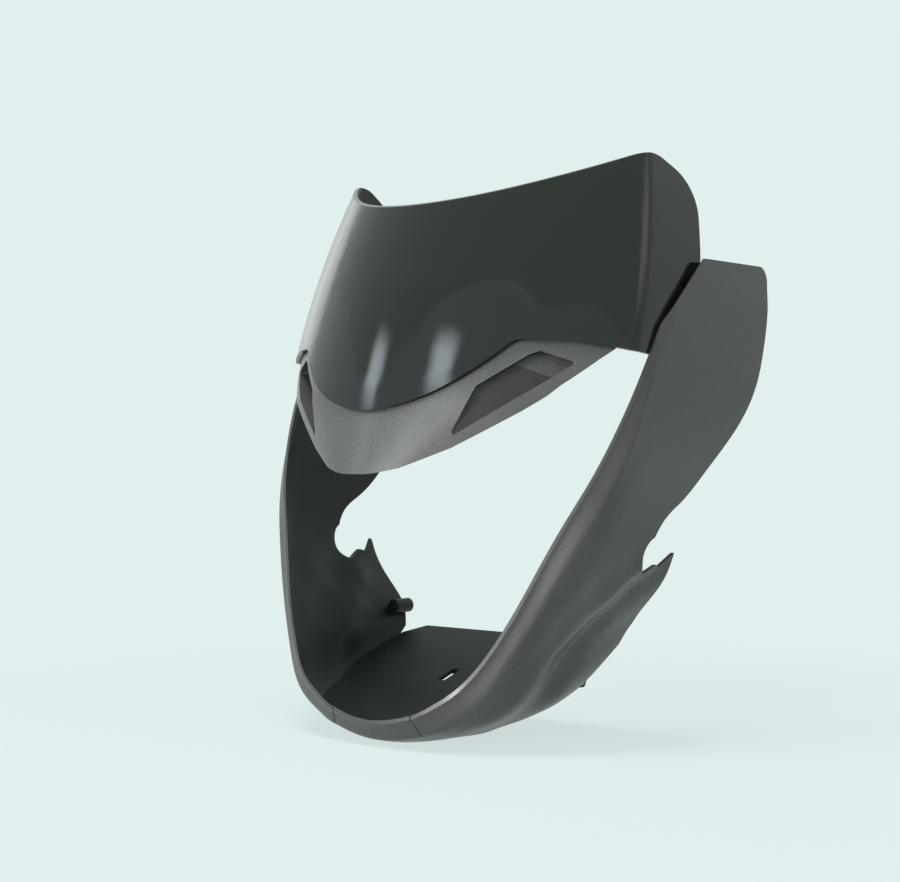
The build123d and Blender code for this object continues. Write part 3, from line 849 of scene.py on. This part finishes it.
@dataclass
class ScrewSet:
    """The screws of one CAD node, with a tapered cross recess cut in each head."""

    node: str
    name: str
    bevel: float = 0.2 * MM
    arm: float = 5.0 * MM
    width: float = 1.0 * MM
    depth: float = 1.7 * MM
    taper: float = 0.55
    end_band: float = 0.4 * MM
    first_turn: float = 17.0
    next_turn: float = 40.0

    def heads(self, obj: bpy.types.Object) -> list[Matrix]:
        """Find each screw's head.

        Args:
            obj: merged copy of the node.

        Returns:
            A frame per screw, at the middle of the head's top, with Z out of it.
        """
        shape = bmesh.new()
        shape.from_mesh(obj.data)
        seen, found = set(), []
        for first in shape.verts:
            if first in seen:
                continue
            seen.add(first)
            island, front = [], [first]
            while front:
                vert = front.pop()
                island.append(vert)
                near = [edge.other_vert(vert) for edge in vert.link_edges]
                near = [other for other in near if other not in seen]
                seen.update(near)
                front.extend(near)
            found.append(self.head_frame(island))
        shape.free()
        return found

    def head_frame(self, island: list[bmesh.types.BMVert]) -> Matrix:
        """Find the frame on top of one screw's head.

        The screw's axis is the odd one out of the spread of its normals, and its head is the wider end.

        Args:
            island: all points of the screw.

        Returns:
            The frame.
        """
        faces = list(dict.fromkeys(face for vert in island for face in vert.link_faces))
        areas = [face.calc_area() for face in faces]
        spread = sum((area * np.outer(face.normal, face.normal) for area, face in zip(areas, faces)),
                     np.zeros((3, 3)))
        values, vectors = np.linalg.eigh(spread)
        odd = 0 if values[1] - values[0] > values[2] - values[1] else 2
        axis = Vector(vectors[:, odd])
        centres = (area * face.calc_center_median() for area, face in zip(areas, faces))
        middle = sum(centres, Vector()) / sum(areas)
        foot = middle - axis * middle.dot(axis)
        runs = [vert.co.dot(axis) for vert in island]

        def reach(end: float) -> float:
            """Largest radius near one end."""
            return max((vert.co - axis * run - foot).length for vert, run in zip(island, runs)
                       if abs(run - end) < self.end_band)

        low, high = min(runs), max(runs)
        top, out = (high, axis) if reach(high) > reach(low) else (low, -axis)
        return Matrix.Translation(foot + axis * top) @ out.to_track_quat("Z", "Y").to_matrix().to_4x4()

    def make_arm(self) -> bpy.types.Object:
        """Model one tapered arm of the cross from a cube, in its own frame.

        Returns:
            The arm.
        """
        deselect()
        bpy.ops.mesh.primitive_cube_add(size=1.0)
        arm = bpy.context.object
        bpy.ops.object.mode_set(mode="EDIT")
        bpy.ops.mesh.select_all(action="SELECT")
        bpy.ops.transform.resize(value=(self.arm, self.width, 2 * self.depth))
        bpy.ops.object.mode_set(mode="OBJECT")
        for vert in arm.data.vertices:
            if vert.co.z < 0:
                vert.co.x *= self.taper
                vert.co.y *= self.taper
        return arm

    @staticmethod
    def cut(obj: bpy.types.Object, arm: bpy.types.Object, place: Matrix) -> None:
        """Cut one arm of a cross out of the screws.

        Args:
            obj: the screws.
            arm: the arm in its own frame.
            place: where it cuts.
        """
        tool = arm.copy()
        tool.data = arm.data.copy()
        tool.data.transform(place)
        bpy.context.scene.collection.objects.link(tool)
        step = obj.modifiers.new("recess", "BOOLEAN")
        step.operation = "DIFFERENCE"
        step.solver = "EXACT"
        step.object = tool
        apply_modifiers(obj)
        bpy.data.objects.remove(tool)

    def build(self, material: bpy.types.Material) -> None:
        """Soften the screws, cut the recesses and dress them.

        Args:
            material: finish of the screws.
        """
        screws = Moulding(self.node, self.name, Slot.STEEL, bevel=self.bevel)
        screws.build()
        places = self.heads(screws.obj)
        screws.soften()
        arm = self.make_arm()
        for index, place in enumerate(places):
            for quarter in (0.0, 90.0):
                turn = math.radians(self.first_turn + self.next_turn * index + quarter)
                self.cut(screws.obj, arm, place @ Matrix.Rotation(turn, 4, "Z"))
        bpy.data.objects.remove(arm)
        weld(screws.obj)
        smooth(screws.obj, screws.sharp)
        screws.flatten_shading()
        screws.obj.data.materials.append(material)
        enlist(screws.obj, screws.node)


@dataclass
class SmallParts:
    """Washers, nuts, grommets, sleeves and screws."""

    finishes: Finishes
    bevel: float = 0.25 * MM

    def build(self) -> None:
        """Build and dress the small parts."""
        rubber = (Slot.RUBBER, self.finishes.rubber)
        steel = (Slot.STEEL, self.finishes.steel)
        rings = {"visor_washers": rubber, "tab_grommets": rubber,
                 "tab_sleeves": steel, "chin_clip_nuts": steel}
        for node, (slot, material) in rings.items():
            piece = Moulding(node, node + "_made", slot, bevel=self.bevel)
            piece.build()
            piece.dress(material)
        for node in ("visor_screws", "side_screws", "tray_screws", "chin_screws"):
            ScrewSet(node, node + "_cross").build(self.finishes.steel)


@dataclass(frozen=True)
class SoftBox:
    """A soft box that fades towards its edges.

    It stands at an azimuth from the front, towards +X, and an elevation, both in degrees, at a reach from the
    point above the origin at level, and faces aim. Its light falls off over the share fade of its width.
    """

    name: str
    azimuth: float
    elevation: float
    reach: float
    size: Span
    power: float
    tint: Colour = (1.0, 1.0, 1.0)
    level: float = 0.15
    aim: Point = (0.0, -0.03, 0.13)
    fade: float = 0.4
    gain: float = 1.6

    def build(self) -> None:
        """Add the lamp."""
        turn, rise = math.radians(self.azimuth), math.radians(self.elevation)
        flat = self.reach * math.cos(rise)
        height = self.level + self.reach * math.sin(rise)
        place = Vector((flat * math.sin(turn), -flat * math.cos(turn), height))
        deselect()
        bpy.ops.object.light_add(type="AREA", location=place)
        lamp = bpy.context.object
        lamp.name = self.name
        lamp.data.shape = "RECTANGLE"
        lamp.data.size, lamp.data.size_y = self.size
        lamp.data.energy = self.power
        lamp.data.color = self.tint
        lamp.rotation_euler = (Vector(self.aim) - place).to_track_quat("-Z", "Y").to_euler()
        lamp.visible_camera = False
        self.fade_edges(lamp.data)

    def fade_edges(self, light: bpy.types.AreaLight) -> None:
        """Let the light fall off over the outer part of the box.

        Args:
            light: the lamp's data.
        """
        light.use_nodes = True
        kit = NodeKit(light.node_tree)
        axes = kit.add("ShaderNodeSeparateXYZ")
        kit.feed(kit.add("ShaderNodeNewGeometry").outputs["Parametric"], axes.inputs["Vector"])
        shares = []
        for axis in ("X", "Y"):
            edge = kit.calculate("PINGPONG", axes.outputs[axis], 0.5)
            share = kit.remap(edge, interpolation_type="SMOOTHSTEP", From_Max=self.fade, To_Max=self.gain)
            shares.append(share)
        glow = kit.add("ShaderNodeEmission")
        kit.feed(kit.calculate("MULTIPLY", *shares), glow.inputs["Strength"])
        kit.show("ShaderNodeOutputLight", glow)


@dataclass
class Studio:
    """Floor, light and camera."""

    background: Colour = (0.760, 0.863, 0.863)
    fill: Colour = (0.95, 1.0, 1.0)
    fill_strength: float = 0.22
    floor_size: float = 40.0
    floor_drop: float = 0.5 * MM
    floor_lit: float = 0.22
    floor_glow: float = 0.79
    floor_plain: float = 0.9
    shadow_span: Span = (0.15, 0.6)
    camera_place: Point = (0.7581, -0.9675, 0.118)
    camera_turn: float = 40.0
    focal_pixels: float = 1787.0
    image_width: float = 900.0
    sensor: float = 36.0
    far_clip: float = 100.0
    warm: Colour = (1.0, 0.95, 0.87)
    cool: Colour = (0.82, 0.93, 1.0)

    def build(self) -> None:
        """Make the world, the floor, the lamps and the camera."""
        self.world()
        self.floor()
        self.lamps()
        self.camera()
        bpy.context.scene.view_settings.view_transform = "Standard"

    def seen_directly(self, kit: NodeKit) -> Socket:
        """Find the rays that show the backdrop: camera, glossy and transmission rays.

        Args:
            kit: node kit of the world or of a material.

        Returns:
            A mask that is 1 for such rays.
        """
        rays = kit.add("ShaderNodeLightPath").outputs
        first = kit.calculate("MAXIMUM", rays["Is Camera Ray"], rays["Is Glossy Ray"])
        return kit.calculate("MAXIMUM", first, rays["Is Transmission Ray"])

    def world(self) -> None:
        """Make a pale backdrop that also gives a soft fill."""
        world = bpy.data.worlds.new("pale_studio")
        bpy.context.scene.world = world
        world.use_nodes = True
        kit = NodeKit(world.node_tree)
        fill = kit.add("ShaderNodeBackground", Color=scaled(self.fill), Strength=self.fill_strength)
        backdrop = kit.add("ShaderNodeBackground", Color=scaled(self.background), Strength=1.0)
        kit.show("ShaderNodeOutputWorld", kit.mix_shaders(self.seen_directly(kit), fill, backdrop))

    def floor(self) -> None:
        """Make a pale floor that meets the backdrop without a line and keeps the shadow."""
        deselect()
        low = CAD_BOX[0][2] - self.floor_drop
        bpy.ops.mesh.primitive_plane_add(size=self.floor_size, location=(0, 0, low))
        plane = bpy.context.object
        plane.name = "studio_floor"
        plane.data.materials.append(self.floor_material())

    def floor_material(self) -> bpy.types.Material:
        """Make the floor's material: lit and glowing near the cowl, backdrop further away.

        Returns:
            The material.
        """
        material = bpy.data.materials.new("pale_floor")
        material.use_nodes = True
        kit = NodeKit(material.node_tree)
        lit = kit.add("ShaderNodeBsdfDiffuse", Color=scaled(self.background, self.floor_lit))
        glow = kit.add("ShaderNodeEmission", Color=scaled(self.background), Strength=self.floor_glow)
        near = kit.add("ShaderNodeAddShader")
        kit.feed(lit.outputs[0], near.inputs[0])
        kit.feed(glow.outputs[0], near.inputs[1])
        far = kit.add("ShaderNodeEmission", Color=scaled(self.background), Strength=1.0)
        away = kit.on_piece("ShaderNodeVectorMath", operation="LENGTH")
        fade = kit.remap(away.outputs["Value"], interpolation_type="SMOOTHSTEP", From_Min=self.shadow_span[0],
                         From_Max=self.shadow_span[1])
        shown = kit.mix_shaders(fade, near, far)
        plain = kit.add("ShaderNodeBsdfDiffuse", Color=scaled(self.background, self.floor_plain))
        kit.show("ShaderNodeOutputMaterial", kit.mix_shaders(self.seen_directly(kit), plain, shown))
        return material

    def lamps(self) -> None:
        """Add a key high over the front, a box at the side, one low in front, one far left and two strips."""
        for box in (SoftBox("key_box", -4, 74, reach=2.2, size=(1.3, 0.9), power=34),
                    SoftBox("side_box", 96, 36, reach=2.4, size=(1.8, 1.4), power=3.5),
                    SoftBox("low_box", -8, 0, reach=2.2, size=(0.8, 0.4), power=42),
                    SoftBox("far_box", -112, 14, reach=2.2, size=(1.0, 1.0), power=0.8, tint=self.warm),
                    SoftBox("strip_one", -44, 25, reach=2.4, size=(0.5, 0.5), power=2.0, tint=self.cool),
                    SoftBox("strip_two", -6, 30, reach=2.4, size=(0.7, 0.5), power=3.4, tint=self.cool)):
            box.build()

    def camera(self) -> None:
        """Add a level camera at the photograph's angle."""
        deselect()
        upright, turn = math.radians(90.0), math.radians(self.camera_turn)
        bpy.ops.object.camera_add(location=self.camera_place, rotation=(upright, 0.0, turn))
        camera = bpy.context.object
        camera.data.sensor_fit = "HORIZONTAL"
        camera.data.sensor_width = self.sensor
        camera.data.lens = self.focal_pixels / self.image_width * self.sensor
        camera.data.clip_end = self.far_clip
        bpy.context.scene.camera = camera


def main() -> None:
    """Build the studio and every piece of the cowl."""
    logging.basicConfig(level=logging.INFO, format="%(message)s")
    Studio().build()
    finishes = Finishes(Effects())
    CowlShell(finishes).build()
    SmallParts(finishes).build()


if __name__ == "__main__":
    main()
